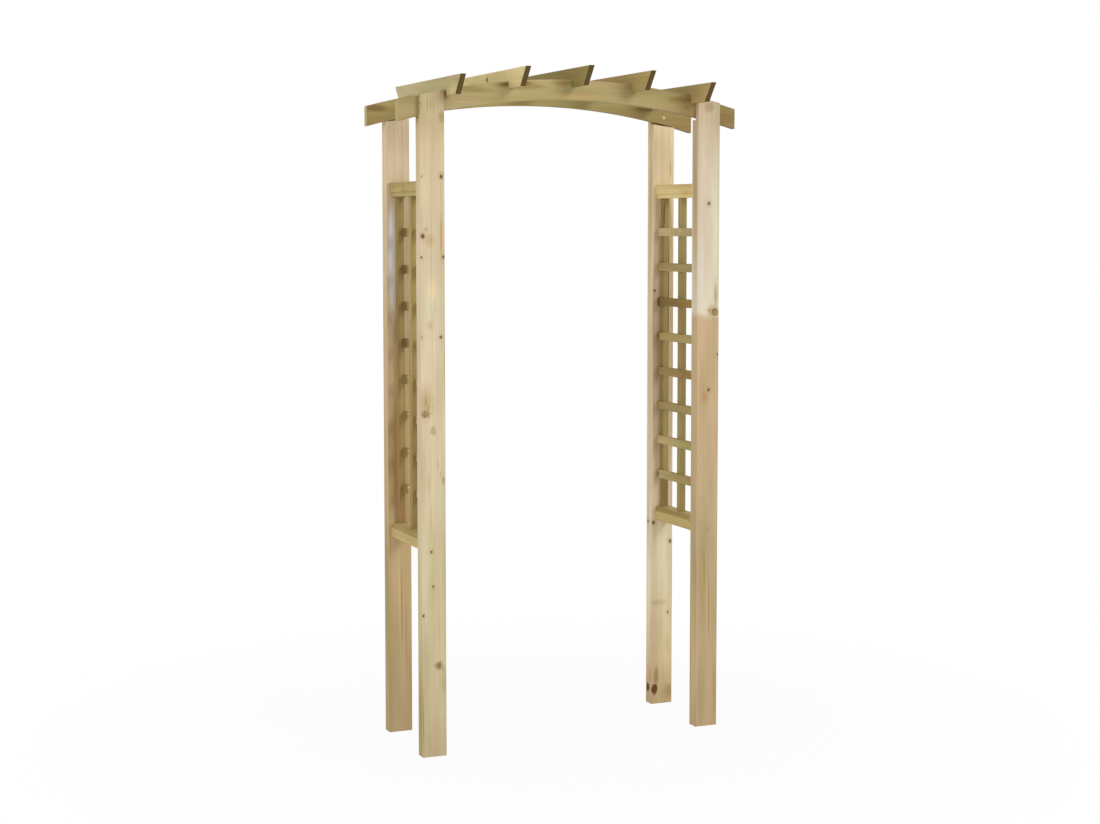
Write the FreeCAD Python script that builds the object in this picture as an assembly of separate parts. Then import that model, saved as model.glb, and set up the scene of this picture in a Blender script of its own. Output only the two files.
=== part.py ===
import FreeCAD, Part
import math
import os

from FreeCAD import Vector

# A garden arch in planed softwood. Four posts carry two arched beams, each let into the inner faces
# of one pair of posts. Five rafters are notched over the beams, and a trellis panel fills each side.
# Millimetres. +Z is up, +X runs across the passage and -Y is the front.
# The origin is on the ground, midway between the four posts.

# Posts
post_width = 80.0               # across the passage
post_depth = 45.0               # front to back
post_height = 2101.0            # at the outer faces, where the sloping tops are lowest
passage_width = 895.0           # clear between the left and right posts
side_gap = 293.0                # clear between the front and back posts

# Arched beams
beam_thickness = 24.0
beam_height = 66.0
beam_rise = 80.0                # crown above the ends
beam_overhang = 66.0            # past the posts' outer faces
seat_wedge = 8.0                # opening under the beam at the posts' inner corners

# Rafters
rafter_count = 5
rafter_thickness = 18.0
rafter_height = 60.0
rafter_notch_depth = 24.0
rafter_overhang = 124.0         # past the posts' outer faces, along the top edge
rafter_end_cut = 48.0           # how far each sloping end runs back under the top edge
rafter_gap_left = 9.0           # between the left posts' plane and the first rafter
rafter_gap_right = 0.5          # between the last rafter and the right posts' plane

# Trellis rails
top_rail_drop = 266.0           # from the posts' outer top edges down to the top rail
bottom_rail_lift = 662.0        # from the ground up to the bottom rail
rail_height = 46.0
rail_recess = 10.0              # rail sides back from the post faces
rail_neck_height = 14.0         # the narrower band next to the lattice
rail_neck_recess = 5.0          # neck sides back from the rail sides

# Trellis lattice
upright_width = 26.0            # front to back
upright_thickness = 21.0        # across the passage
tenon_length = 12.0
tenon_shoulder = 4.0
lath_height = 28.0
lath_thickness = 20.0
lath_let_in = 8.0               # depth of each lath in the uprights
lath_recess = 17.0              # lath faces back from the posts' inner planes
lath_pitch = 121.0
lath_margin = 90.0              # least clear height above and below the laths

# Fasteners
beam_screw_radius = 3.0
beam_screw_head_radius = 5.5
beam_screw_cover = 5.0          # wood left in front of the point
beam_screw_lift = 25.0          # above the beam's lower edge
rafter_screw_radius = 2.5
rafter_screw_head_radius = 4.5
rafter_screw_grip = 34.0        # length inside the beam
nail_radius = 1.0
nail_head_radius = 2.2
nail_cover = 3.0                # wood left in front of the point
dowel_radius = 5.0
dowel_length = 50.0
dowel_inset = 15.0              # dowel centres back from the rail sides
head_sink = 0.5                 # fastener heads below the surface
point_taper = 3.0               # length of a fastener's point, in shank radii
recess_reach = 0.6              # arms of the driver recess, in head radii
recess_width = 0.24             # width of those arms, in head radii
recess_depth = 0.4              # depth of the recess, in head radii

# Fits and finish
joint_clearance = 0.3           # beside tenons, let-in laths, notches and seats
tenon_end_clearance = 1.0       # past the end of a tenon
hole_clearance = 0.1            # round fasteners and dowels
beam_bevel = 1.5                # bevel along the beams' curved edges
edge_ease = 2.0                 # rounding of the long edges of posts, rafters and rails
lath_ease = 1.5                 # rounding of the long edges of the lattice
edge_lean = 25.0                # most degrees between a long edge and the length of its piece
cut_overrun = 1.0               # how far a cutting shape passes the faces that it opens

# Places that follow from the driving dimensions
post_inner = passage_width / 2
post_outer = post_inner + post_width
post_middle = post_inner + post_width / 2
gap_half = side_gap / 2
post_back = gap_half + post_depth
beam_half = post_outer + beam_overhang
beam_radius = (beam_half ** 2 + beam_rise ** 2) / (2 * beam_rise)
beam_back = gap_half + beam_thickness
beam_middle = gap_half + beam_thickness / 2
rafter_half = post_back + rafter_overhang
top_rail_top = post_height - top_rail_drop
top_rail_low = top_rail_top - rail_height
bottom_rail_top = bottom_rail_lift + rail_height
band_height = rail_height - rail_neck_height
rail_inner = post_inner + rail_recess
rail_outer = post_outer - rail_recess
lath_inner = post_inner + lath_recess
lath_outer = lath_inner + lath_thickness
upright_inner = lath_outer - lath_let_in
upright_outer = upright_inner + upright_thickness
lattice_height = top_rail_low - bottom_rail_top
lattice_middle = (top_rail_low + bottom_rail_top) / 2
lath_count = int((lattice_height - 2 * lath_margin - lath_height) / lath_pitch) + 1
lath_heights = [lattice_middle + (lath_count - 1 - 2 * row) * lath_pitch / 2 for row in range(lath_count)]
upright_places = {"front": -gap_half + upright_width / 2, "middle": 0.0, "back": gap_half - upright_width / 2}

sides = {"left": -1, "right": 1}
ends = {"front": -1, "back": 1}
along_x = Vector(1, 0, 0)
along_y = Vector(0, 1, 0)
along_z = Vector(0, 0, 1)
pieces = {}


# Helpers
def block(low, high):
    """A square-edged block between two opposite corners."""
    size = high - low
    return Part.makeBox(size.x, size.y, size.z, low)


def edges_along(shape, along):
    """The edges of a shape that run along one direction."""
    edges = []
    for edge in shape.Edges:
        heading = edge.tangentAt(edge.FirstParameter)
        if abs(heading.dot(along)) > math.cos(math.radians(edge_lean)):
            edges.append(edge)
    return edges


def eased(shape, along, radius):
    """The shape with its edges along one direction rounded."""
    return shape.makeFillet(radius, edges_along(shape, along))


def prism(points, depth):
    """A flat outline pushed along a vector."""
    return Part.Face(Part.makePolygon(points + points[:1])).extrude(depth)


def corner_copy(shape, side, end=1):
    """The right-hand back shape, mirrored to another corner of the arch."""
    if side < 0:
        shape = shape.mirror(Vector(), along_x)
    if end < 0:
        shape = shape.mirror(Vector(), along_y)
    return shape


def turned(outline):
    """A solid of revolution about Z from the points of half its section."""
    return Part.Face(Part.makePolygon(outline + outline[:1])).revolve(Vector(), along_z, 360)


def fastener(length, shank, head):
    """A countersunk nail or screw blank, driven from the origin down, with its head sunk a little."""
    return turned([
        Vector(0, 0, -head_sink),
        Vector(head, 0, -head_sink),
        Vector(shank, 0, -head_sink - (head - shank)),
        Vector(shank, 0, point_taper * shank - length),
        Vector(0, 0, -length),
    ])


def fastener_hole(length, shank, head):
    """The hole for such a fastener, with clearance all round and open at the surface."""
    return turned([
        Vector(0, 0, cut_overrun),
        Vector(head + hole_clearance, 0, cut_overrun),
        Vector(head + hole_clearance, 0, -head_sink),
        Vector(shank + hole_clearance, 0, -head_sink - (head - shank)),
        Vector(shank + hole_clearance, 0, point_taper * shank - length),
        Vector(0, 0, -length - hole_clearance),
    ])


def screw(length, shank, head):
    """A countersunk screw with a cross recess."""
    shape = fastener(length, shank, head)
    reach = recess_reach * head
    width = recess_width * head / 2
    floor = -head_sink - recess_depth * head
    for x, y in ((reach, width), (width, reach)):
        shape = shape.cut(block(Vector(-x, -y, floor), Vector(x, y, cut_overrun)))
    return shape


def driven(shape, place, direction):
    """A fastener moved to its place, with its point towards the direction."""
    moved = shape.copy()
    moved.Placement = FreeCAD.Placement(place, FreeCAD.Rotation(-along_z, direction))
    return moved


def drilled(shape, holes):
    """The shape with all its holes cut at once."""
    return shape.cut(Part.makeCompound(holes))


# Arched beams: both edges have the same radius, so the height is constant
def edge_drop(x):
    """How far a beam's curved edges lie below the crown."""
    return beam_radius - math.sqrt(beam_radius ** 2 - x ** 2)


crown_top = post_height + edge_drop(post_outer)


def beam_top(x):
    """Height of a beam's upper edge."""
    return crown_top - edge_drop(x)


def beam_low(x):
    """Height of a beam's lower edge."""
    return beam_top(x) - beam_height


def beam_blank():
    """The back beam, before drilling."""
    top_left, top_crown, top_right = [Vector(x, gap_half, beam_top(x)) for x in (-beam_half, 0, beam_half)]
    low_left, low_crown, low_right = [Vector(x, gap_half, beam_low(x)) for x in (-beam_half, 0, beam_half)]
    curves = [
        Part.Arc(top_left, top_crown, top_right),
        Part.LineSegment(top_right, low_right),
        Part.Arc(low_right, low_crown, low_left),
        Part.LineSegment(low_left, top_left),
    ]
    outline = Part.Wire([curve.toShape() for curve in curves])
    plank = Part.Face(outline).extrude(along_y * beam_thickness)
    return plank.makeChamfer(beam_bevel, edges_along(plank, along_x))


# Beam screws: one in each housing, driven outwards from the beam's inner face
beam_screw_size = (post_depth - beam_screw_cover, beam_screw_radius, beam_screw_head_radius)
beam_screw_place = Vector(post_middle, gap_half, beam_low(post_middle) + beam_screw_lift)
beam_screw_hole = driven(fastener_hole(*beam_screw_size), beam_screw_place, along_y)
beam_screw = driven(screw(*beam_screw_size), beam_screw_place, along_y)


# Rail dowels: two across each rail end, half in the rail and half in the post
def dowels(growth):
    """The dowels of one rail end on the right-hand back post, for both rails."""
    shapes = []
    half = dowel_length / 2 + growth
    for height in (top_rail_top - band_height / 2, bottom_rail_lift + band_height / 2):
        for x in (rail_inner + dowel_inset, rail_outer - dowel_inset):
            start = Vector(x, gap_half - half, height)
            shapes.append(Part.makeCylinder(dowel_radius + growth, 2 * half, start, along_y))
    return shapes


# Posts: the housing is open at the top, with a straight seat that falls outwards under the beam, and the
# tongue behind it is cut off in line with the beam's upper edge
def above(inner, outer, depth):
    """The space over a sloping line on the right-hand back post, from its heights at the post's two faces."""
    reach = (inner - outer) * cut_overrun / post_width
    ceiling = crown_top + cut_overrun
    outline = [
        Vector(post_inner - cut_overrun, gap_half - cut_overrun, inner + reach),
        Vector(post_outer + cut_overrun, gap_half - cut_overrun, outer - reach),
        Vector(post_outer + cut_overrun, gap_half - cut_overrun, ceiling),
        Vector(post_inner - cut_overrun, gap_half - cut_overrun, ceiling),
    ]
    return prism(outline, along_y * (cut_overrun + depth))


def post():
    """The right-hand back post."""
    blank = block(Vector(post_inner, gap_half, 0), Vector(post_outer, post_back, crown_top))
    top = above(beam_top(post_inner), beam_top(post_outer), post_depth + cut_overrun)
    housing = above(beam_low(post_inner) - seat_wedge, beam_low(post_outer) - joint_clearance, beam_thickness)
    shape = eased(blank, along_z, edge_ease).cut(top).cut(housing)
    return drilled(shape, [beam_screw_hole] + dowels(hole_clearance))


right_back_post = post()
for end_name, end in ends.items():
    for side_name, side in sides.items():
        pieces[f"post_{end_name}_{side_name}"] = corner_copy(right_back_post, side, end)

# Rafters: plumb boards, seated in notches whose roofs follow the beams' curved tops
rafter_first = -post_inner + rafter_gap_left + rafter_thickness / 2
rafter_last = post_inner - rafter_gap_right - rafter_thickness / 2
rafter_pitch = (rafter_last - rafter_first) / (rafter_count - 1)
rafter_places = [rafter_first + rafter_pitch * row for row in range(rafter_count)]


def rafter_low(x):
    """Height of the underside of the rafter at this place, from the deepest side of its notches."""
    near_crown = max(abs(x) - rafter_thickness / 2, 0)
    return beam_top(near_crown) + joint_clearance - rafter_notch_depth


def beam_round():
    """A disc as thick as a notch is wide, whose top lies just over the back beam's curved top."""
    centre = Vector(0, gap_half - joint_clearance, crown_top - beam_radius)
    width = beam_thickness + 2 * joint_clearance
    return Part.makeCylinder(beam_radius + joint_clearance, width, centre, along_y)


def rafter(x):
    """One rafter, before drilling: a trapezium with two notches in its underside."""
    face = x - rafter_thickness / 2
    far_face = x + rafter_thickness / 2
    low = rafter_low(x)
    top = low + rafter_height
    outline = [
        Vector(face, -rafter_half, top),
        Vector(face, rafter_half, top),
        Vector(face, rafter_half - rafter_end_cut, low),
        Vector(face, rafter_end_cut - rafter_half, low),
    ]
    shape = eased(prism(outline, along_x * rafter_thickness), along_y, edge_ease)
    notch = block(Vector(face - cut_overrun, gap_half - joint_clearance, low - cut_overrun),
                  Vector(far_face + cut_overrun, beam_back + joint_clearance, top))
    notch = notch.common(beam_round())
    return shape.cut(Part.makeCompound([notch, corner_copy(notch, 1, -1)]))


rafter_screw_length = rafter_height - rafter_notch_depth + rafter_screw_grip
rafter_screw_size = (rafter_screw_length, rafter_screw_radius, rafter_screw_head_radius)
rafter_screw = screw(*rafter_screw_size)
rafter_hole = fastener_hole(*rafter_screw_size)
rafter_screws = []
rafter_holes = []
for row, x in enumerate(rafter_places):
    over_beams = [Vector(x, end * beam_middle, rafter_low(x) + rafter_height) for end in ends.values()]
    holes = [driven(rafter_hole, place, -along_z) for place in over_beams]
    rafter_screws += [driven(rafter_screw, place, -along_z) for place in over_beams]
    rafter_holes += holes
    pieces[f"rafter_{row + 1}"] = drilled(rafter(x), holes)

for end_name, end in ends.items():
    holes = [corner_copy(beam_screw_hole, side, end) for side in sides.values()]
    pieces[f"arch_beam_{end_name}"] = drilled(corner_copy(beam_blank(), 1, end), holes + rafter_holes)


# Trellis rails: a full-width band, and a neck on the side of the lattice
def tenon(place, growth, end_growth):
    """The tenon of one upright at both rails, as one tall block."""
    across = Vector(tenon_shoulder - growth, 0, 0)
    low = Vector(upright_inner, place - upright_width / 2 + tenon_shoulder - growth,
                 bottom_rail_top - tenon_length - end_growth)
    high = Vector(upright_outer, place + upright_width / 2 - tenon_shoulder + growth,
                  top_rail_low + tenon_length + end_growth)
    return block(low + across, high - across)


def rail(band_low, neck_low):
    """A right-hand rail from the heights of its band and its neck."""
    band = block(Vector(rail_inner, -gap_half, band_low),
                 Vector(rail_outer, gap_half, band_low + band_height))
    neck = block(Vector(rail_inner + rail_neck_recess, -gap_half, neck_low),
                 Vector(rail_outer - rail_neck_recess, gap_half, neck_low + rail_neck_height))
    shape = eased(band, along_y, edge_ease).fuse(neck).removeSplitter()
    cuts = [tenon(place, joint_clearance, tenon_end_clearance) for place in upright_places.values()]
    for end in ends.values():
        cuts += [corner_copy(hole, 1, end) for hole in dowels(hole_clearance)]
    return drilled(shape, cuts)


top_rail = rail(top_rail_low + rail_neck_height, top_rail_low)
bottom_rail = rail(bottom_rail_lift, bottom_rail_top - rail_neck_height)

# Lattice nails: one through each crossing, driven outwards from the lath
nail_size = (upright_outer - lath_inner - nail_cover, nail_radius, nail_head_radius)
nail_places = []
for height in lath_heights:
    nail_places += [Vector(lath_inner, place, height) for place in upright_places.values()]
nail_holes = [driven(fastener_hole(*nail_size), place, along_x) for place in nail_places]
nails = Part.makeCompound([driven(fastener(*nail_size), place, along_x) for place in nail_places])


# Lattice
def lath(height):
    """A right-hand cross lath at this height, from post to post."""
    low = Vector(lath_inner, joint_clearance - gap_half, height - lath_height / 2)
    high = Vector(lath_outer, gap_half - joint_clearance, height + lath_height / 2)
    return drilled(eased(block(low, high), along_y, lath_ease), nail_holes)


def upright(place):
    """A right-hand upright, tenoned into both rails and notched for every lath."""
    low = Vector(upright_inner, place - upright_width / 2, bottom_rail_top)
    high = Vector(upright_outer, place + upright_width / 2, top_rail_low)
    shape = eased(block(low, high), along_z, lath_ease).fuse(tenon(place, 0, 0)).removeSplitter()
    notches = []
    notch_half = lath_height / 2 + joint_clearance
    for height in lath_heights:
        notch_low = Vector(upright_inner - cut_overrun, low.y - cut_overrun, height - notch_half)
        notch_high = Vector(lath_outer, high.y + cut_overrun, height + notch_half)
        notches.append(block(notch_low, notch_high))
    return drilled(shape, notches + nail_holes)


laths = [lath(height) for height in lath_heights]
uprights = {name: upright(place) for name, place in upright_places.items()}
for side_name, side in sides.items():
    pieces[f"trellis_top_rail_{side_name}"] = corner_copy(top_rail, side)
    pieces[f"trellis_bottom_rail_{side_name}"] = corner_copy(bottom_rail, side)
    for name, shape in uprights.items():
        pieces[f"trellis_upright_{name}_{side_name}"] = corner_copy(shape, side)
    for row, shape in enumerate(laths):
        pieces[f"trellis_lath_{row + 1}_{side_name}"] = corner_copy(shape, side)
    pieces[f"trellis_nails_{side_name}"] = corner_copy(nails, side)

# Fasteners shared by several pieces
corners = [(side, end) for side in sides.values() for end in ends.values()]
pieces["beam_screws"] = Part.makeCompound([corner_copy(beam_screw, side, end) for side, end in corners])
pieces["rafter_screws"] = Part.makeCompound(rafter_screws)
pieces["rail_dowels"] = Part.makeCompound(
    [corner_copy(dowel, side, end) for side, end in corners for dowel in dowels(0)])

os.makedirs("parts", exist_ok=True)
for name, shape in pieces.items():
    shape.exportStep(f"parts/{name}.step")
    print(name, len(shape.Solids), shape.isValid(), round(shape.Volume))
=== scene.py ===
import math
import random
from collections import namedtuple

import bpy
from mathutils import Euler, Matrix, Vector


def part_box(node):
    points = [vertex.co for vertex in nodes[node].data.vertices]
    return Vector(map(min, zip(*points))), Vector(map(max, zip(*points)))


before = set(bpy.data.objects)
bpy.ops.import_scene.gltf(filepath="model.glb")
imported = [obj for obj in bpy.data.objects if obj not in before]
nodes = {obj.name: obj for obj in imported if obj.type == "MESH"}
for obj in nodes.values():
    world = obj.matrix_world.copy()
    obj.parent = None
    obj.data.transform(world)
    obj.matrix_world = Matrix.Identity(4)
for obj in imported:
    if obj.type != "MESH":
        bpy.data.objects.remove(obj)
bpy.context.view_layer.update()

# The looks of a garden arch in planed pine: pale posts, and green-brown treated beams, rafters and trellis.
# Every solid of the frame is shown as it is, and every wooden node has a grain of its own that runs along it.
# Metres, and millimetres for the marks on a piece. +Z is up, +X runs across the passage and -Y is the front.
chance = random.Random(5)
millimetres = 1000.0            # in a metre

# Camera
camera_place = (-2.5134, -5.8844, 1.6937)
camera_yaw = math.radians(23.078)
camera_pitch = math.radians(4.236)
camera_lens = 62.801            # millimetres, on the sensor below
camera_sensor = 36.0
camera_shift = -0.04            # share of the picture's width

# Light and floor
sky_strength = 0.6
key_power = 500.0
key_size = 4.0
key_place = (4.0, -11.0, 6.0)
fill_power = 100.0
fill_size = 3.0
fill_place = (-5.4, -2.0, 2.6)
aim_height = 1.1
floor_size = 60.0
floor_glow = 0.93               # share of plain white in what the camera sees of the floor at the arch
shadow_near = 0.6               # distances from the arch's middle over which the floor turns plain white
shadow_far = 2.2


def srgb(red, green, blue):
    """A colour in linear light from its screen values."""
    linear = []
    for value in (red, green, blue):
        share = value / 255
        linear.append(share / 12.92 if share <= 0.04045 else ((share + 0.055) / 1.055) ** 2.4)
    return (*linear, 1.0)


class Graph:
    """A shader node tree, with short calls for the kinds of node that are used most."""

    # Places of the colours among the sockets of a mix node
    mix_first = 6
    mix_second = 7
    mix_result = 2

    def __init__(self, tree):
        self.tree = tree

    def add(self, kind, **settings):
        """A new node with these settings."""
        node = self.tree.nodes.new(kind)
        for name, value in settings.items():
            setattr(node, name, value)
        return node

    def put(self, socket, value):
        """Feed a socket from another node's output, or set it to a plain value."""
        if isinstance(value, bpy.types.NodeSocket):
            self.tree.links.new(value, socket)
        else:
            socket.default_value = value

    def fill(self, node, values):
        """Feed a node's inputs in order."""
        for socket, value in zip(node.inputs, values):
            self.put(socket, value)
        return node

    def feed(self, node, values):
        """Feed a node's inputs by their names."""
        for name, value in values.items():
            self.put(node.inputs[name], value)
        return node

    def math(self, operation, *values):
        """An operation on numbers."""
        return self.fill(self.add("ShaderNodeMath", operation=operation), values).outputs["Value"]

    def vector(self, operation, *values):
        """A vector operation that gives a vector."""
        return self.fill(self.add("ShaderNodeVectorMath", operation=operation), values).outputs["Vector"]

    def measure(self, operation, *values):
        """A vector operation that gives a number."""
        return self.fill(self.add("ShaderNodeVectorMath", operation=operation), values).outputs["Value"]

    def noise(self, place, rate, detail=2.0):
        """Noise with this many waves a metre along each axis: its value, and its colour as a vector."""
        scaled = self.vector("MULTIPLY", place, rate)
        node = self.feed(self.add("ShaderNodeTexNoise"), {"Vector": scaled, "Scale": 1.0, "Detail": detail})
        return node.outputs[0], node.outputs[1]

    def smooth(self, value, low, high, start=0.0, end=1.0):
        """A smooth step from start to end, as the value goes from low to high."""
        node = self.add("ShaderNodeMapRange", interpolation_type="SMOOTHSTEP")
        return self.fill(node, (value, low, high, start, end)).outputs[0]

    def mix(self, share, first, second):
        """One colour turning into another."""
        node = self.add("ShaderNodeMix", data_type="RGBA")
        self.put(node.inputs["Factor"], share)
        self.put(node.inputs[self.mix_first], first)
        self.put(node.inputs[self.mix_second], second)
        return node.outputs[self.mix_result]

    def ramp(self, value, stops):
        """A colour ramp through these stops, which are places with a colour or a shade of grey."""
        node = self.add("ShaderNodeValToRGB")
        elements = node.color_ramp.elements
        while len(elements) < len(stops):
            elements.new(1.0)
        for element, (place, colour) in zip(elements, stops):
            element.position = place
            element.color = colour if isinstance(colour, tuple) else (colour, colour, colour, 1.0)
        self.put(node.inputs["Fac"], value)
        return node.outputs["Color"]


def new_group(name, inputs, outputs):
    """An empty node group with these sockets, and the ends of its links."""
    tree = bpy.data.node_groups.new(name, "ShaderNodeTree")
    for way, sockets in (("INPUT", inputs), ("OUTPUT", outputs)):
        for socket, kind in sockets.items():
            tree.interface.new_socket(socket, in_out=way, socket_type="NodeSocket" + kind)
    graph = Graph(tree)
    return graph, graph.add("NodeGroupInput").outputs, graph.add("NodeGroupOutput").inputs


def new_material(name):
    """A material with its node graph and its surface shader."""
    material = bpy.data.materials.new(name)
    material.use_nodes = True
    return material, Graph(material.node_tree), material.node_tree.nodes["Principled BSDF"]


def show(node, material):
    """Use one material all over a node."""
    mesh = nodes[node].data
    mesh.materials.clear()
    mesh.materials.append(material)


# Knots. The last two lists run from a knot's middle out to its reach: how far it hides the wood, and its own
# colours, with a dark heart and rim and an amber halo.
knot_reach = 4.0                # knot radii over which a knot colours the wood
no_knot = 9.0                   # distance that stands for no knot
knot_squash = (1.0, 1.0, 0.8)   # a knot is a little longer along the grain
least_knot = 0.15               # share of its radius that a knot keeps towards the pith
bend_squash = (1.0, 1.0, 0.45)  # the rings bend further along the grain than across it
bend_spread = 1.8               # knot radii over which the rings bend
bend_depth = -1.6               # knot radii by which they bend
knot_cover = [(0.0, 1.0), (0.2, 0.92), (0.27, 0.46), (0.45, 0.16), (1.0, 0.0)]
knot_colours = [(0.0, srgb(60, 46, 24)), (0.06, srgb(96, 74, 40)), (0.17, srgb(114, 88, 47)),
                (0.235, srgb(78, 60, 32)), (0.29, srgb(152, 124, 78)), (1.0, srgb(182, 156, 110))]


def make_knot_group():
    """A branch that grows out from the pith: the distance from it in knot radii, and how it bends the rings.

    Knots are chained: each passes on the nearest distance and the sum of the bends."""
    inputs = {"Place": "Vector", "Centre": "Vector", "Out": "Vector", "Radius": "Float", "Reach": "Float",
              "Faint": "Float", "Ragged": "Float", "Distance": "Float", "Bend": "Float"}
    graph, given, result = new_group("knot", inputs, {"Distance": "Float", "Bend": "Float"})
    offset = graph.vector("SUBTRACT", given["Place"], given["Centre"])
    along_branch = graph.measure("DOT_PRODUCT", offset, given["Out"])
    beside = graph.vector("SUBTRACT", offset, graph.vector("MULTIPLY", given["Out"], along_branch))

    flattened = graph.vector("MULTIPLY", beside, knot_squash)
    grown = graph.math("DIVIDE", graph.math("ADD", along_branch, given["Reach"]), given["Reach"])
    size = graph.math("MULTIPLY", given["Radius"], graph.math("MAXIMUM", grown, least_knot))
    clean = graph.math("DIVIDE", graph.measure("LENGTH", flattened), size)
    distance = graph.math("MULTIPLY_ADD", clean, given["Ragged"], given["Faint"])
    graph.put(result["Distance"], graph.math("MINIMUM", distance, given["Distance"]))

    long_way = graph.vector("MULTIPLY", beside, bend_squash)
    spread = graph.math("MULTIPLY", size, bend_spread)
    swell = graph.math("DIVIDE", graph.measure("LENGTH", long_way), spread)
    fall = graph.math("EXPONENT", graph.math("MULTIPLY", graph.math("MULTIPLY", swell, swell), -1.0))
    depth = graph.math("MULTIPLY", size, bend_depth)
    graph.put(result["Bend"], graph.math("MULTIPLY_ADD", fall, depth, given["Bend"]))
    return graph.tree


def make_tint_patch_group():
    """A soft patch that multiplies the tone by its tint, for stains in the wood and for painted light and
    shade.

    Its reach is one over its size each way."""
    inputs = {"Tone": "Color", "Place": "Vector", "Centre": "Vector", "Reach": "Vector", "Tint": "Vector",
              "Edge": "Float", "Ragged": "Float"}
    graph, given, result = new_group("tint_patch", inputs, {"Tone": "Color"})
    offset = graph.vector("SUBTRACT", given["Place"], given["Centre"])
    away = graph.measure("LENGTH", graph.vector("MULTIPLY", offset, given["Reach"]))
    strength = graph.smooth(graph.math("MULTIPLY", away, given["Ragged"]), given["Edge"], 1.0, 1.0, 0.0)
    stained = graph.vector("MULTIPLY", given["Tone"], given["Tint"])
    graph.put(result["Tone"], graph.mix(strength, given["Tone"], stained))
    return graph.tree


# Sawn pine. A rate is in waves a metre, twice across the grain and once along it. A step has the values from
# and to which a smooth change runs, and what it changes from and to.
noise_middle = 0.5              # about which every noise swings
across_grain = (1.0, 1.0, 0.0)
no_tint = (1.0, 1.0, 1.0)
wave_rate = (6.0, 6.0, 1.1)
wave_depth = (0.016, 0.016, 0.0)
uneven_rate = 450.0             # waves a metre out from the pith
uneven_depth = 2.0              # rings
ring_profile = [(0.0, 0.35), (0.15, 0.0), (0.5, 0.12), (0.82, 0.8), (0.92, 1.0)]
year_step = (0.0, 1.0, 0.2, 1.0)
late_tint = (0.74, 0.66, 0.52)
drift_rate = (16.0, 16.0, 2.6)
drift_step = (0.3, 0.7, 0.5, -0.5)
drift_swing = (0.2, 0.24, 0.34)
hue_start = (3.0, 5.0, 7.0)     # keeps the drifts of hue apart from the drifts of tone
hue_rate = (20.0, 20.0, 1.6)
hue_step = (0.35, 0.65, -0.5, 0.5)
hue_swing = (0.07, -0.04, 0.02)
fibre_rate = (1100.0, 1100.0, 14.0)
fibre_step = (0.2, 0.8, -0.04, 0.04)
fibre_relief = 0.6
streak_rate = (150.0, 150.0, 1.7)
streak_step = (0.25, 0.75, 0.95, 1.045)
streak_relief = 0.8
hair_rate = (420.0, 420.0, 1.3)
dark_hair_step = (0.64, 0.8, 1.0, 0.8)
pale_hair_step = (0.2, 0.36, 1.1, 1.0)
end_ring_step = (0.0, 1.0, 1.08, 0.6)
rough_step = (0.2, 0.8, 0.56, 0.74)


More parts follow.
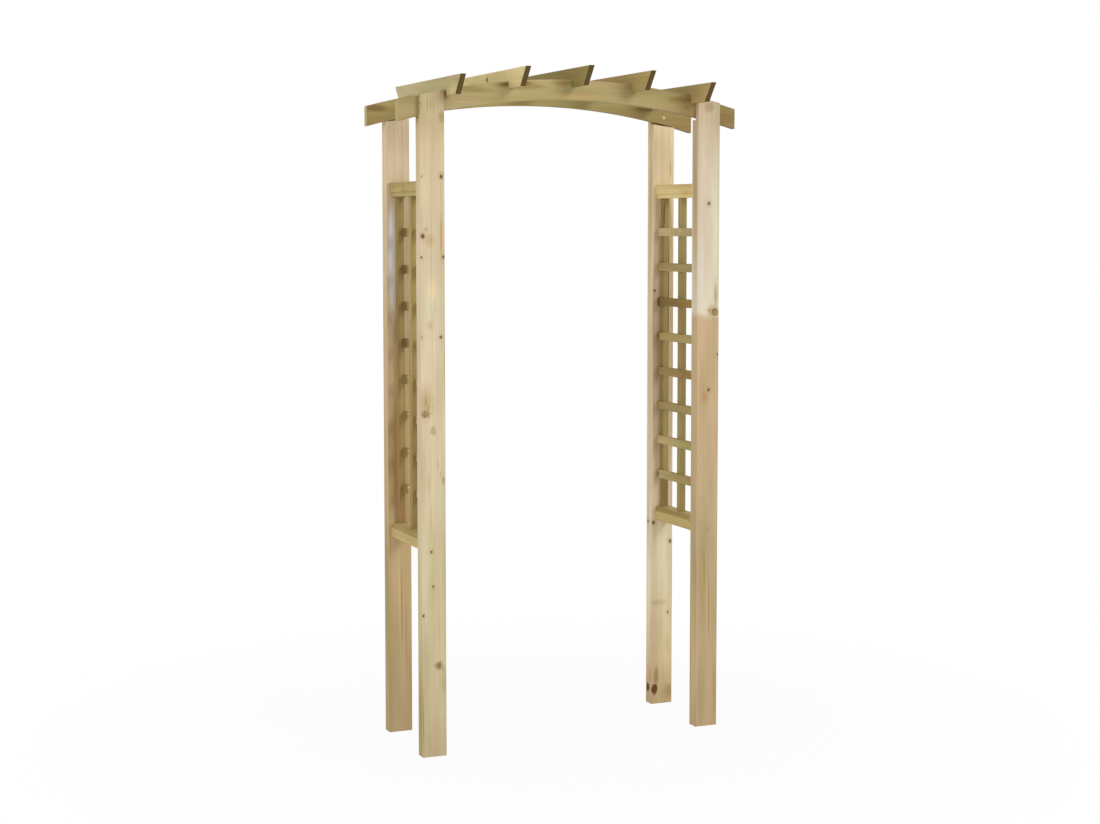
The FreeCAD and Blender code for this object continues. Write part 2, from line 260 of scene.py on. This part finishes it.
def make_wood_group():
    """Sawn pine, from a place in the grain: X and Y across it from the pith, and Z along it."""
    inputs = {"Place": "Vector", "Bend": "Float", "Knot": "Float", "End": "Float", "Tone": "Color",
              "Variety": "Float", "Ring width": "Float", "Contrast": "Float", "End tone": "Color"}
    outputs = {"Color": "Color", "Roughness": "Float", "Height": "Float"}
    graph, given, result = new_group("sawn_pine", inputs, outputs)
    place = given["Place"]

    # Year rings, wavy and uneven, each turning dark slowly and pale at once
    _, wave = graph.noise(place, wave_rate)
    wave = graph.vector("SUBTRACT", wave, (noise_middle,) * 3)
    wavy = graph.vector("MULTIPLY_ADD", wave, wave_depth, place)
    from_pith = graph.measure("LENGTH", graph.vector("MULTIPLY", wavy, across_grain))
    from_pith = graph.math("ADD", from_pith, given["Bend"])
    uneven = graph.add("ShaderNodeTexNoise", noise_dimensions="1D")
    graph.feed(uneven, {"W": graph.math("MULTIPLY", from_pith, uneven_rate), "Scale": 1.0})
    rings = graph.math("DIVIDE", from_pith, given["Ring width"])
    rings = graph.math("MULTIPLY_ADD", uneven.outputs[0], uneven_depth, rings)
    late = graph.ramp(graph.math("FRACT", rings), ring_profile)
    year = graph.add("ShaderNodeTexWhiteNoise", noise_dimensions="1D")
    graph.put(year.inputs["W"], graph.math("FLOOR", rings))
    year_strength = graph.smooth(year.outputs["Value"], *year_step)
    late = graph.math("MULTIPLY", late, graph.math("MULTIPLY", year_strength, given["Contrast"]))

    # Slow drifts of tone from pale to warm, and of hue from green to pink
    drift, _ = graph.noise(place, drift_rate, detail=3.0)
    drift = graph.math("MULTIPLY", graph.smooth(drift, *drift_step), given["Variety"])
    warmth = graph.vector("MULTIPLY_ADD", drift, drift_swing, no_tint)
    hue, _ = graph.noise(graph.vector("ADD", place, hue_start), hue_rate)
    hue = graph.math("MULTIPLY", graph.smooth(hue, *hue_step), given["Variety"])
    tint = graph.vector("MULTIPLY_ADD", hue, hue_swing, no_tint)
    colour = graph.vector("MULTIPLY", given["Tone"], graph.vector("MULTIPLY", warmth, tint))
    colour = graph.mix(late, colour, graph.vector("MULTIPLY", colour, late_tint))

    # Fibres, streaks, and thin dark and pale hairlines along the grain
    fibre, _ = graph.noise(place, fibre_rate)
    streak, _ = graph.noise(place, streak_rate, detail=3.0)
    hair, _ = graph.noise(place, hair_rate, detail=1.0)
    shade = graph.math("ADD", graph.smooth(streak, *streak_step), graph.smooth(fibre, *fibre_step))
    dark_hair = graph.smooth(hair, *dark_hair_step)
    pale_hair = graph.smooth(hair, *pale_hair_step)
    shade = graph.math("MULTIPLY", shade, graph.math("MULTIPLY", dark_hair, pale_hair))
    colour = graph.vector("MULTIPLY", colour, shade)

    # Knots
    nearness = graph.math("DIVIDE", given["Knot"], knot_reach)
    colour = graph.mix(graph.ramp(nearness, knot_cover), colour, graph.ramp(nearness, knot_colours))

    # End grain soaks up more of the treatment
    end_shade = graph.math("MULTIPLY", shade, graph.smooth(late, *end_ring_step))
    end = graph.vector("MULTIPLY", given["End tone"], end_shade)
    graph.put(result["Color"], graph.mix(given["End"], colour, end))
    graph.put(result["Roughness"], graph.smooth(fibre, *rough_step))
    relief = graph.math("MULTIPLY", fibre, fibre_relief)
    graph.put(result["Height"], graph.math("MULTIPLY_ADD", streak, streak_relief, relief))
    return graph.tree


knot_group = make_knot_group()
tint_patch_group = make_tint_patch_group()
wood_group = make_wood_group()

# Marks lie at x, y and z from a piece's low corner, in millimetres. A knot's faintness is 0 where it shows
# whole, and from about 1.2 only its halo is left. A tint patch multiplies the tone by its tint, wholly as far
# out as its edge, which is a share of its size. Most patches are stains in the wood, and some are painted
# light and shade.
soft_edge = 0.1
even_length = 100.0             # length along the grain above which a tint patch has an even outline
ragged_rate = (170.0, 170.0, 170.0)
ragged_step = (0.2, 0.8, 0.75, 1.25)
Knot = namedtuple("Knot", "x y z radius faint", defaults=[0.0])
TintPatch = namedtuple("TintPatch", "x y z across along tint edge", defaults=[soft_edge])


def add_knot(graph, knot, centre, place, ragged, distance, bend):
    """Add a knot to the chain of knots, and pass on the chain's distance and bend."""
    out = Vector((centre.x, centre.y, 0.0))
    patch = graph.add("ShaderNodeGroup", node_tree=knot_group)
    graph.feed(patch, {"Place": place, "Centre": centre, "Out": out.normalized(), "Reach": out.length,
                       "Radius": knot.radius / millimetres, "Faint": knot.faint, "Ragged": ragged,
                       "Distance": distance, "Bend": bend})
    return patch.outputs["Distance"], patch.outputs["Bend"]


def add_tint_patch(graph, tint_patch, centre, place, ragged, tone):
    """Tint the tone with a patch, and pass it on."""
    across = millimetres / tint_patch.across
    along = millimetres / tint_patch.along
    outline = 1.0 if tint_patch.along > even_length else ragged
    patch = graph.add("ShaderNodeGroup", node_tree=tint_patch_group)
    graph.feed(patch, {"Tone": tone, "Place": place, "Centre": centre, "Reach": (across, across, along),
                       "Tint": tint_patch.tint, "Edge": tint_patch.edge, "Ragged": outline})
    return patch.outputs["Tone"]


# Pieces of wood: the grain along X, Y or Z, with the turns that bring it to Z
grain_axes = {"X": (1.0, 0.0, 0.0), "Y": (0.0, 1.0, 0.0), "Z": (0.0, 0.0, 1.0)}
grain_turns = {
    "X": Matrix(((0, 1, 0), (0, 0, 1), (1, 0, 0))),
    "Y": Matrix(((0, 0, 1), (1, 0, 0), (0, 1, 0))),
    "Z": Matrix.Identity(3),
}
most_lean = 0.5                 # degrees between a piece and its log
tone_wander = 0.03              # metres by which a change of tone wanders along the grain
wander_rate = (12.0, 12.0, 3.0)
end_facing = (0.5, 0.7)         # how far a face has to look along the grain to be end grain
wood_specular = 0.28
bump_strength = 0.35
bump_distance = 0.0004


def lean():
    """A small chance angle."""
    return math.radians(chance.uniform(-most_lean, most_lean))


def tone_along(graph, coordinates, place, grain, tones):
    """The tone of a piece, which changes along its grain from each given place to the next."""
    if len(tones) == 1:
        return tones[0][1]
    first, last = tones[0][0], tones[-1][0]
    along = graph.measure("DOT_PRODUCT", coordinates.outputs["Object"], grain_axes[grain])
    wander, _ = graph.noise(place, wander_rate)
    along = graph.math("MULTIPLY_ADD", graph.math("SUBTRACT", wander, noise_middle), tone_wander, along)
    share = graph.math("DIVIDE", graph.math("SUBTRACT", along, first), last - first)
    return graph.ramp(share, [((where - first) / (last - first), tone) for where, tone in tones])


def wood(node, grain, tones, pith, ring_width, contrast, variety, end_tone, marks):
    """Give a node its own pine. The pith is given from its middle, and tones are places along the grain
    with their colours."""
    material, graph, shader = new_material(node + "_wood")
    low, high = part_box(node)
    turn = Euler((lean(), lean(), 0.0)).to_matrix() @ grain_turns[grain]
    start = turn @ ((low + high) / 2 + Vector(pith))
    coordinates = graph.add("ShaderNodeTexCoord")
    mapping = graph.add("ShaderNodeMapping")
    graph.feed(mapping, {"Vector": coordinates.outputs["Object"], "Rotation": turn.to_euler(),
                         "Location": -start})
    place = mapping.outputs["Vector"]

    tone = tone_along(graph, coordinates, place, grain, tones)
    rough, _ = graph.noise(place, ragged_rate)
    ragged = graph.smooth(rough, *ragged_step)
    distance, bend = no_knot, 0.0
    for mark in marks:
        spot = low + Vector((mark.x, mark.y, mark.z)) / millimetres
        centre = turn @ spot - start
        if isinstance(mark, Knot):
            distance, bend = add_knot(graph, mark, centre, place, ragged, distance, bend)
        else:
            tone = add_tint_patch(graph, mark, centre, place, ragged, tone)

    facing = graph.measure("DOT_PRODUCT", coordinates.outputs["Normal"], grain_axes[grain])
    end = graph.smooth(graph.math("ABSOLUTE", facing), *end_facing)
    pine = graph.add("ShaderNodeGroup", node_tree=wood_group)
    graph.feed(pine, {"Place": place, "Bend": bend, "Knot": distance, "End": end, "Tone": tone,
                      "Variety": variety, "Ring width": ring_width, "Contrast": contrast,
                      "End tone": end_tone})
    bump = graph.add("ShaderNodeBump")
    graph.feed(bump, {"Strength": bump_strength, "Distance": bump_distance, "Height": pine.outputs["Height"]})
    graph.feed(shader, {"Base Color": pine.outputs["Color"], "Roughness": pine.outputs["Roughness"],
                        "Specular IOR Level": wood_specular, "Normal": bump.outputs["Normal"]})
    show(node, material)


# Tints of the patches, from dark to light: stains in the wood, and painted light and shade
deep_brown_tint = (0.24, 0.13, 0.03)
blot_tint = (0.40, 0.31, 0.19)
rim_tint = (0.46, 0.36, 0.22)
crack_tint = (0.46, 0.38, 0.30)
lath_shadow_tint = (0.50, 0.42, 0.30)
stub_shadow_tint = (0.60, 0.60, 0.45)
grime_and_shade_tint = (0.62, 0.54, 0.40)
fern_tint = (0.65, 0.73, 0.62)
sage_tint = (0.67, 0.75, 0.55)
ochre_tint = (0.68, 0.64, 0.34)
brown_tint = (0.70, 0.60, 0.46)
amber_tint = (0.72, 0.58, 0.36)
trellis_shade_tint = (0.72, 0.73, 0.68)
tan_tint = (0.73, 0.61, 0.43)
smoke_and_shade_tint = (0.76, 0.71, 0.62)
honey_tint = (0.78, 0.71, 0.55)
painted_blue_shade_tint = (0.80, 0.84, 0.90)
upright_shadow_tint = (0.82, 0.77, 0.66)
stone_tint = (0.82, 0.84, 0.76)
moss_tint = (0.84, 0.92, 0.76)
rust_tint = (0.86, 0.66, 0.62)
faint_brown_tint = (0.86, 0.79, 0.69)
green_tint = (0.90, 0.93, 0.80)
mint_tint = (0.90, 0.96, 0.87)
pink_tint = (0.94, 0.80, 0.70)
blush_tint = (0.98, 0.88, 0.80)
milky_tint = (1.04, 1.06, 1.18)
painted_reflection_tint = (1.07, 1.37, 2.20)
painted_light_tint = (1.12, 1.06, 0.92)
yellow_tint = (1.15, 1.20, 0.80)
pale_tint = (1.16, 1.12, 1.05)
cream_tint = (1.19, 1.32, 1.26)
rosy_tint = (1.28, 1.20, 1.16)
lifted_tint = (1.50, 1.50, 1.45)
lath_highlight_tint = (1.70, 1.65, 1.50)

# Posts: tones by height, and marks mostly on the front face. Marks that only cover a face have their middle
# a little outside it.
post_end_tone = srgb(206, 186, 146)
post_ring_width = 0.0042
outside = -6
side_middle = 22                # from the front to the middle of the left face
side_across = 28
strip_height = 1340             # of the middle of a strip beside the trellis
strip_along = 610
strip_across = 18.5
strip_edge = 0.8


def post(node, pith, tones, marks, contrast, variety=0.85):
    """A post, whose knots run right through it."""
    wood(node, "Z", tones, pith, post_ring_width, contrast, variety, post_end_tone, marks)


def left_side(height, along, tint, edge=soft_edge):
    """A tint patch over a stretch of a post's left face."""
    return TintPatch(outside, side_middle, height, side_across, along, tint, edge)


def trellis_shade_strip(x, tint):
    """A painted shade along a narrow band of a post's front face, where the trellis beside it casts its
    shadow.
    """
    return TintPatch(x, outside, strip_height, strip_across, strip_along, tint, strip_edge)


front_left_tones = [
    (0.05, srgb(186, 171, 131)), (0.5, srgb(207, 189, 151)), (0.98, srgb(206, 188, 153)),
    (1.45, srgb(213, 196, 163)), (1.82, srgb(212, 194, 158)), (1.95, srgb(203, 183, 144)),
    (2.01, srgb(191, 171, 130)), (2.08, srgb(188, 169, 127)),
]
top_streaks = [TintPatch(x, 0, 2073, 3.5, 30, smoke_and_shade_tint) for x in (24, 34, 46)]
front_left_marks = [
    Knot(69, 0, 1847, 4.5), Knot(4, 0, 1848, 3, 0.5), Knot(7, 0, 1661, 5.5), Knot(76, 0, 1596, 4.5),
    Knot(2, 0, 1595, 3), Knot(66, 0, 1344, 4), Knot(2, 0, 1344, 4, 0.7), Knot(31, 0, 662, 3.5),
    Knot(36, 0, 550, 3), Knot(3, 0, 458, 3), Knot(70, 0, 278, 5, 0.85),
    # The first patch on the next line is a painted shade under rafter 1, at the top right corner of the front
    # face.
    TintPatch(78, 0, 2109, 16, 24, smoke_and_shade_tint), *top_streaks, TintPatch(72, 0, 2033, 17, 25, smoke_and_shade_tint, 0.3),
    TintPatch(69, 0, 1852, 14, 24, faint_brown_tint), TintPatch(68, 0, 1795, 4, 60, faint_brown_tint),
    TintPatch(2, 0, 1730, 4, 90, faint_brown_tint), TintPatch(18, 0, 1682, 9, 9, smoke_and_shade_tint),
    TintPatch(68, 0, 1657, 6, 115, rust_tint, 0.2), TintPatch(30, 0, 1648, 20, 30, faint_brown_tint),
    TintPatch(38, 0, 1490, 20, 60, pale_tint), TintPatch(30, 0, 1380, 15, 20, faint_brown_tint),
    TintPatch(80, 0, 1250, 9, 200, pink_tint), TintPatch(15, 0, 1142, 6, 22, smoke_and_shade_tint),
    TintPatch(16, 0, 1140, 36, 80, honey_tint), TintPatch(22, 0, 1120, 7, 16, smoke_and_shade_tint),
    TintPatch(14, 0, 1101, 20, 15, grime_and_shade_tint, 0.5), TintPatch(10, 0, 1096, 12, 9, smoke_and_shade_tint),
    TintPatch(38, 0, 1048, 11, 19, smoke_and_shade_tint, 0.7), TintPatch(54, 0, 938, 5, 26, faint_brown_tint),
    TintPatch(63, 0, 908, 5, 22, faint_brown_tint), TintPatch(72, 0, 888, 8, 22, brown_tint),
    TintPatch(25, 0, 875, 4, 60, faint_brown_tint), TintPatch(30, 0, 765, 4, 72, faint_brown_tint),
    TintPatch(55, 0, 294, 21, 19, blot_tint), TintPatch(70, 0, 235, 18, 64, faint_brown_tint),
    TintPatch(2, 0, 110, 1.6, 150, crack_tint),
    # The first patch on the next line is a painted shadow of the front beam's stub on the top of the left
    # face.
    left_side(2075, 70, stub_shadow_tint, 0.6), left_side(1850, 220, green_tint), left_side(100, 300, ochre_tint),
]
post("post_front_left", (0.012, 0.075, 0.0), front_left_tones, front_left_marks, contrast=0.14)

front_right_tones = [
    (0.1, srgb(182, 159, 119)), (0.9, srgb(189, 163, 122)), (1.385, srgb(198, 172, 133)),
    (1.405, srgb(220, 208, 182)), (1.7, srgb(219, 207, 181)), (2.05, srgb(196, 176, 144)),
]
front_right_marks = [
    Knot(40, 0, 1768, 4.5), Knot(76, 0, 1264, 4, 0.3), Knot(43, 0, 1145, 4.5), Knot(43, 0, 674, 4, 0.7),
    TintPatch(40, 0, 2086, 26, 24, smoke_and_shade_tint, 0.3), TintPatch(80, 0, 1650, 14, 350, green_tint),
    TintPatch(14, 0, 1560, 18, 160, milky_tint, 0.2), TintPatch(60, 0, 1470, 7, 70, blush_tint),
    TintPatch(68, 0, 1462, 8, 62, brown_tint, 0.2), TintPatch(44, 0, 1412, 18, 10, smoke_and_shade_tint),
    TintPatch(54, 0, 1408, 24, 34, honey_tint, 0.3), TintPatch(66, 0, 1405, 14, 14, rim_tint, 0.75),
    TintPatch(66, 0, 1404, 9, 9, lifted_tint, 0.6), TintPatch(28, 0, 1122, 22, 30, pink_tint),
    TintPatch(30, 0, 540, 4, 110, faint_brown_tint), TintPatch(42, 0, 430, 5, 180, pale_tint),
    TintPatch(48, 0, 400, 4, 160, brown_tint), TintPatch(24, 0, 130, 24, 170, moss_tint, 0.2),
    TintPatch(72, 0, 120, 14, 160, faint_brown_tint),
    left_side(1750, 420, tan_tint), left_side(250, 420, rosy_tint),
]
post("post_front_right", (-0.02, 0.085, 0.0), front_right_tones, front_right_marks, contrast=0.22)

back_left_tones = [
    (0.1, srgb(175, 153, 111)), (0.5, srgb(193, 165, 123)), (1.0, srgb(192, 166, 125)),
    (1.3, srgb(196, 172, 132)), (1.7, srgb(206, 184, 146)), (1.85, srgb(214, 193, 159)),
]
back_left_marks = [
    Knot(54, 0, 1255, 6, 1.2), Knot(23, 0, 336, 5, 1.4),
    # The next four patches are painted light and shade on the front face beside the trellis: a pale bluish
    # reflection high up, a bluish shade below it, light on the face's right part, and the trellis's shadow
    # beside the back upright.
    TintPatch(24, -8, 1580, 30, 250, painted_reflection_tint, 0.5), TintPatch(22, 0, 1335, 24, 60, painted_blue_shade_tint),
    TintPatch(68, 0, 950, 24, 420, painted_light_tint, 0.5), TintPatch(24, -10, 925, 38, 240, upright_shadow_tint, 0.5),
    TintPatch(0, 0, 450, 24, 700, green_tint), TintPatch(37, 0, 450, 5, 180, pale_tint),
    TintPatch(45, 0, 430, 4, 230, brown_tint), TintPatch(60, 0, 330, 7, 260, faint_brown_tint),
    TintPatch(74, 0, 200, 12, 200, pink_tint),
    left_side(1800, 450, mint_tint), left_side(500, 420, sage_tint),
]
post("post_back_left", (0.03, 0.07, 0.0), back_left_tones, back_left_marks, contrast=0.2, variety=0.6)

back_right_tones = [
    (0.03, srgb(190, 166, 122)), (0.17, srgb(214, 190, 149)), (0.5, srgb(230, 211, 178)),
    (1.2, srgb(228, 208, 170)), (2.0, srgb(232, 211, 169)),
]
back_right_marks = [
    Knot(7, 0, 1468, 3), Knot(0, 32, 651, 4), Knot(5, 0, 650, 4.5), Knot(71, 0, 580, 4.5),
    Knot(63, 0, 325, 4, 0.3),
    # After the first patch, the two strips and the next patch, 1230 high, are painted shade: the trellis's
    # shadow on the front face.
    TintPatch(66, 0, 1890, 4, 38, brown_tint), trellis_shade_strip(15, trellis_shade_tint), trellis_shade_strip(65, smoke_and_shade_tint),
    TintPatch(16, outside, 1230, 17, 150, smoke_and_shade_tint, 0.3), TintPatch(78, 0, 480, 5, 190, faint_brown_tint),
    TintPatch(26, 0, 363, 46, 14, stone_tint, 0.3), TintPatch(64, 0, 215, 26, 55, green_tint),
    TintPatch(0, 12, 104, 10, 40, smoke_and_shade_tint), TintPatch(19, 0, 100, 15, 50, grime_and_shade_tint, 0.2),
    TintPatch(0, 29, 55, 14, 17, deep_brown_tint, 0.8), TintPatch(12, 0, 54, 12.5, 21, deep_brown_tint, 0.8),
    TintPatch(70, 0, 42, 26, 38, smoke_and_shade_tint, 0.2),
    left_side(1750, 380, fern_tint), left_side(1170, 260, stone_tint), left_side(430, 400, cream_tint),
]
post("post_back_right", (0.035, 0.05, 0.0), back_right_tones, back_right_marks, contrast=0.14)

# Treated pieces, each sawn from a place of its own in the log
beam_end_tone = srgb(176, 156, 108)
rafter_end_tone = srgb(87, 71, 29)
trellis_end_tone = srgb(140, 118, 72)
dowel_tone = srgb(207, 176, 131)
treated_variety = 1.2
nearest_pith = 0.035
furthest_pith = 0.075
narrowest_ring = 0.0026
widest_ring = 0.0042


def treated(node, grain, tones, end_tone=trellis_end_tone, marks=(), contrast=0.4):
    """A treated piece, with a pith that lies across the grain from its middle."""
    angle = chance.uniform(0.0, math.tau)
    distance = chance.uniform(nearest_pith, furthest_pith)
    pith = [distance * math.cos(angle), distance * math.sin(angle)]
    pith.insert("XYZ".index(grain), 0.0)
    ring_width = chance.uniform(narrowest_ring, widest_ring)
    wood(node, grain, tones, pith, ring_width, contrast, treated_variety, end_tone, marks)


# Beams and rafters, with the beams' tones by their places across the passage
front_beam_tones = [
    (-0.53, srgb(162, 146, 98)), (-0.43, srgb(178, 160, 113)), (-0.2, srgb(187, 168, 116)),
    (0.0, srgb(182, 163, 110)), (0.3, srgb(169, 147, 97)), (0.5, srgb(148, 125, 75)),
]
front_beam_marks = [
    # All these patches but the pale one are painted shade: the shadows that the rafters cast on the beam's
    # front face beside their notches.
    TintPatch(255, 0, 106, 17, 85, honey_tint, 0.3), TintPatch(362, 0, 124, 9, 28, grime_and_shade_tint, 0.3),
    TintPatch(420, 0, 122, 20, 115, honey_tint, 0.3), TintPatch(432, 0, 130, 9, 28, brown_tint, 0.3),
    TintPatch(555, 0, 134, 16, 60, brown_tint), TintPatch(610, 0, 92, 18, 130, pale_tint),
    TintPatch(985, 0, 92, 18, 80, brown_tint),
]
back_beam_tones = [
    (-0.59, srgb(166, 143, 93)), (-0.52, srgb(180, 157, 103)), (0.0, srgb(177, 158, 102)),
    (0.5, srgb(158, 135, 82)),
]
back_beam_marks = [TintPatch(30, 0, 60, 17, 60, grime_and_shade_tint, 0.3), TintPatch(1000, 0, 78, 16, 75, brown_tint)]
rafter_tones = (srgb(186, 169, 123), srgb(217, 197, 141), srgb(146, 131, 72), srgb(174, 150, 92),
                srgb(180, 158, 102))
rafter_marks = {
    1: [TintPatch(0, 70, 20, 30, 45, pale_tint)],
    2: [Knot(0, 335, 40, 5.5), TintPatch(0, 122, 30, 40, 3, faint_brown_tint)],
}
treated("arch_beam_front", "X", front_beam_tones, beam_end_tone, front_beam_marks)
treated("arch_beam_back", "X", back_beam_tones, beam_end_tone, back_beam_marks)
for row, tone in enumerate(rafter_tones, start=1):
    treated(f"rafter_{row}", "Y", [(0.0, tone)], rafter_end_tone, rafter_marks.get(row, ()))

# Laths of the trellis from the top down, by their tones at the back and at the front
olive = srgb(162, 142, 86)
green = srgb(160, 149, 86)
silver = srgb(177, 158, 110)
moss = srgb(151, 136, 86)
honey = srgb(170, 148, 92)
straw = srgb(168, 155, 92)
pink = srgb(206, 180, 130)
pale = srgb(194, 175, 120)
amber = srgb(150, 120, 56)
dark = srgb(130, 108, 53)
brown = srgb(150, 126, 76)
tan = srgb(180, 157, 105)
lath_tones = {
    "left": ((brown, brown),) * 4 + ((tan, tan),) * 4,
    "right": ((pink, silver), (tan, moss), (dark, amber), (honey, straw), (olive, amber), (olive, olive),
              (pale, green), (pale, honey)),
}
# On the left laths: a painted shadow that the back upright casts on each lath's back end, and on the lower
# four a painted highlight along the top.
lath_end_shadow = TintPatch(0, 246, 14, 26, 42, lath_shadow_tint, 0.5)
lath_top_highlight = TintPatch(0, 195, 30, 8, 45, lath_highlight_tint, 0.3)
dark_end = TintPatch(0, 284, 14, 24, 18, crack_tint)
yellow_patch = TintPatch(0, 117, 18, 14, 16, yellow_tint, 0.4)
amber_patch = TintPatch(0, 91, 10, 10, 16, amber_tint)
lath_marks = {
    "left": [[lath_end_shadow]] * 4 + [[lath_end_shadow, lath_top_highlight]] * 4,
    "right": [[yellow_patch], [], [dark_end], [dark_end], [amber_patch], [], [], [dark_end]],
}
panel_half = 0.12               # from a lath's middle to where it has its end tones

# Uprights of the trellis, by their tones low down and high up. The back ones have dark lines along them, and
# the right one of these has a darker foot.
upright_low = 0.95
upright_high = 1.6
upright_contrast = 0.6
left_upright = srgb(160, 136, 82)
left_upright_high = srgb(171, 152, 95)
left_upright_dark = srgb(147, 124, 72)
right_upright = srgb(168, 147, 92)
right_upright_dark = srgb(158, 137, 85)
upright_tones = {
    "left": {"front": (left_upright, left_upright), "middle": (left_upright, left_upright_high),
             "back": (left_upright, left_upright_dark)},
    "right": {"front": (right_upright, right_upright), "middle": (right_upright, right_upright),
              "back": (right_upright_dark, right_upright_dark)},
}
left_seams = [TintPatch(x, 0, 550, 3, 620, crack_tint) for x in (0, 21)]
right_seams = [TintPatch(0, 0, 1040, 4, 60, crack_tint, 0.6), TintPatch(21, 0, 780, 6, 230, crack_tint, 0.6)]
dark_foot = TintPatch(12, 0, 64, 26, 90, brown_tint, 0.3)
upright_marks = {"back_left": left_seams, "back_right": [*right_seams, dark_foot]}

# Rails of the trellis
bottom_rail_tones = {"left": srgb(194, 170, 112), "right": srgb(188, 167, 104)}
# A painted shade along the set-back neck of each bottom rail.
neck_shade = [TintPatch(5, 146, 41, 13, 400, brown_tint)]
top_rail_tones = {"left": srgb(170, 148, 93), "right": srgb(224, 207, 143)}
top_rail_marks = {
    "left": [TintPatch(0, 92, 40, 10, 26, pink_tint), TintPatch(0, 158, 26, 40, 8, brown_tint),
             TintPatch(0, 210, 20, 20, 60, pale_tint)],
    "right": [Knot(0, 40, 38, 3, 0.6), TintPatch(0, 60, 14, 16, 60, pink_tint),
              TintPatch(0, 146, 44, 16, 200, faint_brown_tint)],
}

for side in ("left", "right"):
    treated(f"trellis_bottom_rail_{side}", "Y", [(0.0, bottom_rail_tones[side])], marks=neck_shade)
    treated(f"trellis_top_rail_{side}", "Y", [(0.0, top_rail_tones[side])], marks=top_rail_marks[side])
    for place, (low_tone, high_tone) in upright_tones[side].items():
        tones = [(upright_low, low_tone), (upright_high, high_tone)]
        marks = upright_marks.get(f"{place}_{side}", ())
        treated(f"trellis_upright_{place}_{side}", "Z", tones, marks=marks, contrast=upright_contrast)
    for row, (back_tone, front_tone) in enumerate(lath_tones[side]):
        tones = [(-panel_half, front_tone), (panel_half, back_tone)]
        treated(f"trellis_lath_{row + 1}_{side}", "Y", tones, marks=lath_marks[side][row])
treated("rail_dowels", "Y", [(0.0, dowel_tone)])

# Fasteners
zinc_dull = srgb(166, 146, 98)
zinc_bright = srgb(186, 174, 138)
cloud_rate = (700.0, 700.0, 700.0)
cloud_rough_step = (0.3, 0.7, 0.28, 0.46)


def zinc():
    """Yellow zinc plating, a little cloudy."""
    material, graph, shader = new_material("yellow_zinc")
    coordinates = graph.add("ShaderNodeTexCoord")
    cloud, _ = graph.noise(coordinates.outputs["Object"], cloud_rate, detail=3.0)
    graph.feed(shader, {"Metallic": 1.0, "Base Color": graph.mix(cloud, zinc_dull, zinc_bright),
                        "Roughness": graph.smooth(cloud, *cloud_rough_step)})
    return material


plating = zinc()
for node in ("beam_screws", "rafter_screws", "trellis_nails_left", "trellis_nails_right"):
    show(node, plating)

# Floor, sky and lamps
floor_tone = srgb(235, 235, 235)


def seen_directly(graph):
    """One where the camera looks, straight or by a mirror or glass, and nought where light is gathered."""
    rays = graph.add("ShaderNodeLightPath").outputs
    mirrored = graph.math("MAXIMUM", rays["Is Glossy Ray"], rays["Is Transmission Ray"])
    return graph.math("MAXIMUM", rays["Is Camera Ray"], mirrored)


def make_floor():
    """A white floor that keeps a trace of the arch's shadow."""
    half = floor_size / 2
    corners = [(-half, -half, 0), (half, -half, 0), (half, half, 0), (-half, half, 0)]
    mesh = bpy.data.meshes.new("floor")
    mesh.from_pydata(corners, [], [(0, 1, 2, 3)])
    floor = bpy.data.objects.new("floor", mesh)
    bpy.context.scene.collection.objects.link(floor)
    material, graph, _ = new_material("white_floor")
    graph.tree.nodes.clear()
    paint = graph.add("ShaderNodeBsdfDiffuse")
    paint.inputs["Color"].default_value = floor_tone
    glow = graph.add("ShaderNodeEmission")
    blend = graph.add("ShaderNodeMixShader")
    away = graph.measure("LENGTH", graph.add("ShaderNodeTexCoord").outputs["Object"])
    white = graph.smooth(away, shadow_near, shadow_far, floor_glow, 1.0)
    share = graph.math("MULTIPLY", seen_directly(graph), white)
    graph.fill(blend, (share, paint.outputs[0], glow.outputs[0]))
    graph.put(graph.add("ShaderNodeOutputMaterial").inputs["Surface"], blend.outputs[0])
    mesh.materials.append(material)


def make_sky():
    """A white backdrop that lights the arch softly from all round."""
    world = bpy.data.worlds.new("studio")
    bpy.context.scene.world = world
    world.use_nodes = True
    graph = Graph(world.node_tree)
    background = world.node_tree.nodes["Background"]
    background.inputs["Color"].default_value = (1.0, 1.0, 1.0, 1.0)
    strength = graph.smooth(seen_directly(graph), 0.0, 1.0, sky_strength, 1.0)
    graph.put(background.inputs["Strength"], strength)


def make_lamp(name, place, power, size):
    """A square soft lamp that looks at the middle of the arch."""
    lamp = bpy.data.lights.new(name, "AREA")
    lamp.energy = power
    lamp.size = size
    holder = bpy.data.objects.new(name, lamp)
    holder.location = place
    aim = Vector((0.0, 0.0, aim_height)) - Vector(place)
    holder.rotation_euler = aim.to_track_quat("-Z", "Y").to_euler()
    bpy.context.scene.collection.objects.link(holder)


def make_camera():
    """The photograph's view."""
    camera = bpy.data.cameras.new("camera")
    camera.lens = camera_lens
    camera.sensor_width = camera_sensor
    camera.shift_y = camera_shift
    holder = bpy.data.objects.new("camera", camera)
    holder.location = camera_place
    holder.rotation_euler = (math.pi / 2 - camera_pitch, 0.0, -camera_yaw)
    bpy.context.scene.collection.objects.link(holder)
    bpy.context.scene.camera = holder


make_floor()
make_sky()
make_lamp("key", key_place, key_power, key_size)
make_lamp("fill", fill_place, fill_power, fill_size)
make_camera()
bpy.context.scene.view_settings.view_transform = "Standard"
